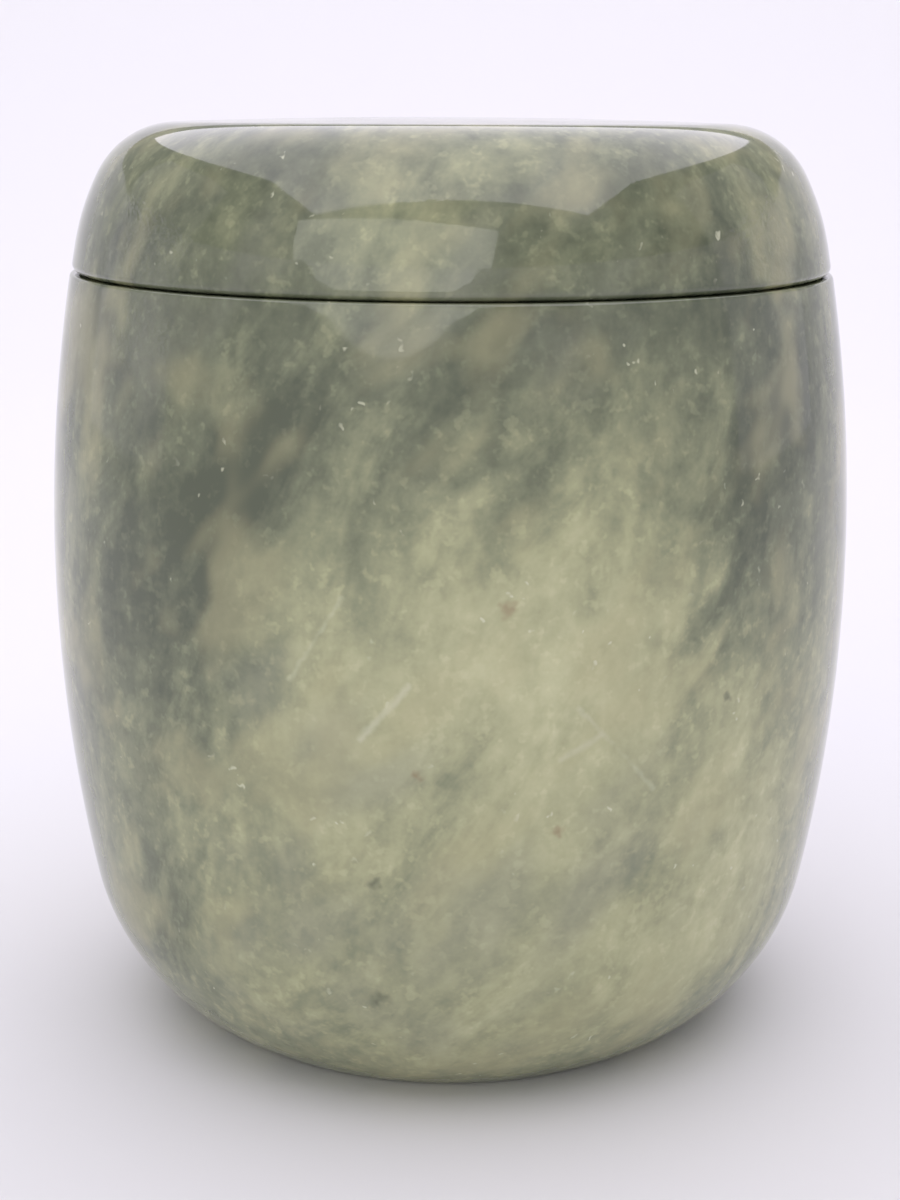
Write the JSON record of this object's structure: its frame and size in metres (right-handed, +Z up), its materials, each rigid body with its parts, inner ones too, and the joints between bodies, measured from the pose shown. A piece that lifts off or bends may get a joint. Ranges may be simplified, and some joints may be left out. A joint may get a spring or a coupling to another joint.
{
  "type": "cremation urn",
  "caption": "Hollow rounded stone cremation urn on a flat foot, with a domed lid that lifts off.",
  "frame": {"origin": "centre of the flat foot, on the plane that the urn stands on", "axes": "+Z up, along the axis that the urn is turned about; X and Y are equivalent"},
  "size_m": [0.214, 0.214, 0.2413],
  "materials": {
    "jade_body": "highly polished green jade",
    "jade_lid": "highly polished green jade"
  },
  "bodies": {
    "root": {"urn_body": "jade_body", "urn_lid": "jade_lid"}
  },
  "joints": []
}
